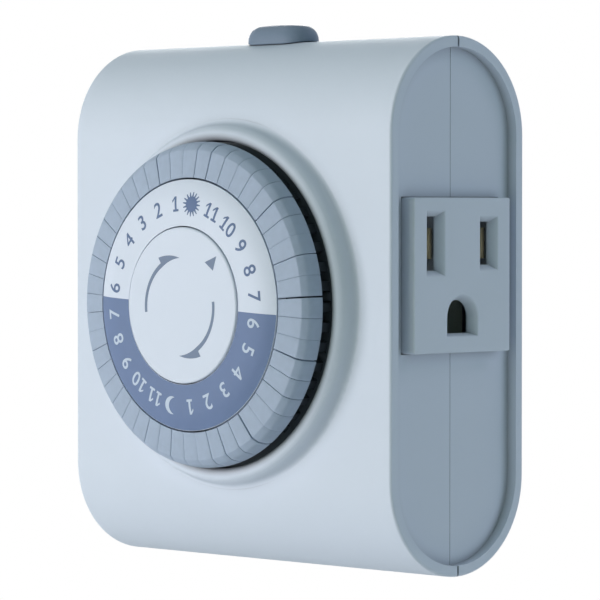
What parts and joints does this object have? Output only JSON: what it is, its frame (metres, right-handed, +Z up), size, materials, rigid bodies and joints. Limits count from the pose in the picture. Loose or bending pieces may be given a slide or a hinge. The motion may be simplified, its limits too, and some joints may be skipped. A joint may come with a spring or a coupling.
{
  "type": "plug-in timer switch",
  "caption": "Plug-in timer switch: round-ended housing, clock dial ringed by push-in tappets, override slide on top, grounded outlet on its side and plug on its back.",
  "frame": {"origin": "centre of the wall face of the rear shell, at mid width and mid height", "axes": "+X to the right seen from the front, towards the outlet; +Y into the wall; +Z up"},
  "size_m": [0.0755, 0.0627, 0.0904],
  "materials": {
    "housing_plastic": "fine satin mould finish, pale blue grey",
    "insert_plastic": "satin, mid blue grey",
    "tappet_plastic": "smooth satin, blue grey",
    "dial_plastic": "smooth satin, near white with a printed hour ring",
    "carrier_plastic": "satin, blue grey",
    "knob_plastic": "satin, slate grey",
    "inner_plastic": "moulded insulating resin",
    "gear_plastic": "natural acetal",
    "brass": "stamped strip",
    "plated_brass": "nickel-washed plug pins",
    "steel": "zinc plated",
    "coil_wire": "taped winding"
  },
  "bodies": {
    "housing": {"front_housing": "housing_plastic", "rear_housing": "housing_plastic", "housing_screws": "steel", "receptacle_insert": "insert_plastic", "contact_block": "inner_plastic", "hot_contact": "brass", "neutral_contact": "brass", "ground_contact": "brass", "neutral_bus": "brass", "ground_strap": "brass", "line_strip": "brass", "hot_blade": "plated_brass", "neutral_blade": "plated_brass", "ground_pin": "plated_brass", "plug_carrier": "inner_plastic", "override_base": "inner_plastic", "override_pad_in": "brass", "override_pad_out": "brass", "motor_can": "steel", "motor_cover": "steel", "motor_coil": "coil_wire", "gear_plate": "steel", "plate_screws": "steel", "follower_pin": "steel", "hub_cap": "dial_plastic"},
    "dial": {"dial_carrier": "carrier_plastic", "dial_face": "dial_plastic"},
    "transfer_gears": {"transfer_wheel": "gear_plastic", "drive_pinion": "brass"},
    "motor_gear": {"motor_pinion": "brass"},
    "follower": {"follower_lever": "gear_plastic"},
    "leaf": {"leaf_contact": "brass"},
    "override": {"override_knob": "knob_plastic", "override_bridge": "brass"},
    "tappet_pair_01": {"tappets_01": "tappet_plastic"},
    "tappet_pair_02": {"tappets_02": "tappet_plastic"},
    "tappet_pair_03": {"tappets_03": "tappet_plastic"},
    "tappet_pair_04": {"tappets_04": "tappet_plastic"},
    "tappet_pair_05": {"tappets_05": "tappet_plastic"},
    "tappet_pair_06": {"tappets_06": "tappet_plastic"},
    "tappet_pair_07": {"tappets_07": "tappet_plastic"},
    "tappet_pair_08": {"tappets_08": "tappet_plastic"},
    "tappet_pair_09": {"tappets_09": "tappet_plastic"},
    "tappet_pair_10": {"tappets_10": "tappet_plastic"},
    "tappet_pair_11": {"tappets_11": "tappet_plastic"},
    "tappet_pair_12": {"tappets_12": "tappet_plastic"},
    "tappet_pair_13": {"tappets_13": "tappet_plastic"},
    "tappet_pair_14": {"tappets_14": "tappet_plastic"},
    "tappet_pair_15": {"tappets_15": "tappet_plastic"},
    "tappet_pair_16": {"tappets_16": "tappet_plastic"},
    "tappet_pair_17": {"tappets_17": "tappet_plastic"},
    "tappet_pair_18": {"tappets_18": "tappet_plastic"},
    "tappet_pair_19": {"tappets_19": "tappet_plastic"},
    "tappet_pair_20": {"tappets_20": "tappet_plastic"},
    "tappet_pair_21": {"tappets_21": "tappet_plastic"},
    "tappet_pair_22": {"tappets_22": "tappet_plastic"},
    "tappet_pair_23": {"tappets_23": "tappet_plastic"},
    "tappet_pair_24": {"tappets_24": "tappet_plastic"}
  },
  "joints": [
    {"name": "dial_spin", "type": "hinge", "parent": "housing", "child": "dial", "pos_m": [0, -0.0318, 0], "axis": [0, 1, 0], "continuous": true},
    {"name": "transfer_spin", "type": "hinge", "parent": "housing", "child": "transfer_gears", "pos_m": [0, -0.0318, -0.0165], "axis": [0, 1, 0], "continuous": true},
    {"name": "motor_spin", "type": "hinge", "parent": "housing", "child": "motor_gear", "pos_m": [-0.01222, -0.0159, -0.02095], "axis": [0, 1, 0], "continuous": true},
    {"name": "follower_tilt", "type": "hinge", "parent": "housing", "child": "follower", "pos_m": [-0.03, -0.022, 0.01578], "axis": [0, 0, 1], "range_deg": [0, 10.9], "stiffness_Nm_per_rad": 0.02},
    {"name": "leaf_tilt", "type": "hinge", "parent": "housing", "child": "leaf", "pos_m": [0.01205, -0.02035, 0.01578], "axis": [0, 0, 1], "range_deg": [-6.1, 0]},
    {"name": "override_slide", "type": "slide", "parent": "housing", "child": "override", "axis": [1, 0, 0], "range_m": [0, 0.0052]},
    {"name": "push_01", "type": "slide", "parent": "dial", "child": "tappet_pair_01", "axis": [0, 1, 0], "range_m": [0, 0.003]},
    {"name": "push_02", "type": "slide", "parent": "dial", "child": "tappet_pair_02", "axis": [0, 1, 0], "range_m": [0, 0.003]},
    {"name": "push_03", "type": "slide", "parent": "dial", "child": "tappet_pair_03", "axis": [0, 1, 0], "range_m": [0, 0.003]},
    {"name": "push_04", "type": "slide", "parent": "dial", "child": "tappet_pair_04", "axis": [0, 1, 0], "range_m": [0, 0.003]},
    {"name": "push_05", "type": "slide", "parent": "dial", "child": "tappet_pair_05", "axis": [0, 1, 0], "range_m": [0, 0.003]},
    {"name": "push_06", "type": "slide", "parent": "dial", "child": "tappet_pair_06", "axis": [0, 1, 0], "range_m": [0, 0.003]},
    {"name": "push_07", "type": "slide", "parent": "dial", "child": "tappet_pair_07", "axis": [0, 1, 0], "range_m": [0, 0.003]},
    {"name": "push_08", "type": "slide", "parent": "dial", "child": "tappet_pair_08", "axis": [0, 1, 0], "range_m": [0, 0.003]},
    {"name": "push_09", "type": "slide", "parent": "dial", "child": "tappet_pair_09", "axis": [0, 1, 0], "range_m": [0, 0.003]},
    {"name": "push_10", "type": "slide", "parent": "dial", "child": "tappet_pair_10", "axis": [0, 1, 0], "range_m": [0, 0.003]},
    {"name": "push_11", "type": "slide", "parent": "dial", "child": "tappet_pair_11", "axis": [0, 1, 0], "range_m": [0, 0.003]},
    {"name": "push_12", "type": "slide", "parent": "dial", "child": "tappet_pair_12", "axis": [0, 1, 0], "range_m": [0, 0.003]},
    {"name": "push_13", "type": "slide", "parent": "dial", "child": "tappet_pair_13", "axis": [0, 1, 0], "range_m": [0, 0.003]},
    {"name": "push_14", "type": "slide", "parent": "dial", "child": "tappet_pair_14", "axis": [0, 1, 0], "range_m": [0, 0.003]},
    {"name": "push_15", "type": "slide", "parent": "dial", "child": "tappet_pair_15", "axis": [0, 1, 0], "range_m": [0, 0.003]},
    {"name": "push_16", "type": "slide", "parent": "dial", "child": "tappet_pair_16", "axis": [0, 1, 0], "range_m": [0, 0.003]},
    {"name": "push_17", "type": "slide", "parent": "dial", "child": "tappet_pair_17", "axis": [0, 1, 0], "range_m": [0, 0.003]},
    {"name": "push_18", "type": "slide", "parent": "dial", "child": "tappet_pair_18", "axis": [0, 1, 0], "range_m": [0, 0.003]},
    {"name": "push_19", "type": "slide", "parent": "dial", "child": "tappet_pair_19", "axis": [0, 1, 0], "range_m": [0, 0.003]},
    {"name": "push_20", "type": "slide", "parent": "dial", "child": "tappet_pair_20", "axis": [0, 1, 0], "range_m": [0, 0.003]},
    {"name": "push_21", "type": "slide", "parent": "dial", "child": "tappet_pair_21", "axis": [0, 1, 0], "range_m": [0, 0.003]},
    {"name": "push_22", "type": "slide", "parent": "dial", "child": "tappet_pair_22", "axis": [0, 1, 0], "range_m": [0, 0.003]},
    {"name": "push_23", "type": "slide", "parent": "dial", "child": "tappet_pair_23", "axis": [0, 1, 0], "range_m": [0, 0.003]},
    {"name": "push_24", "type": "slide", "parent": "dial", "child": "tappet_pair_24", "axis": [0, 1, 0], "range_m": [0, 0.003]}
  ],
  "couplings": [
    {"joint": "transfer_spin", "follows": "dial_spin", "ratio": -4.5},
    {"joint": "motor_spin", "follows": "dial_spin", "ratio": 15},
    {"joint": "leaf_tilt", "follows": "follower_tilt", "ratio": -0.55536}
  ]
}
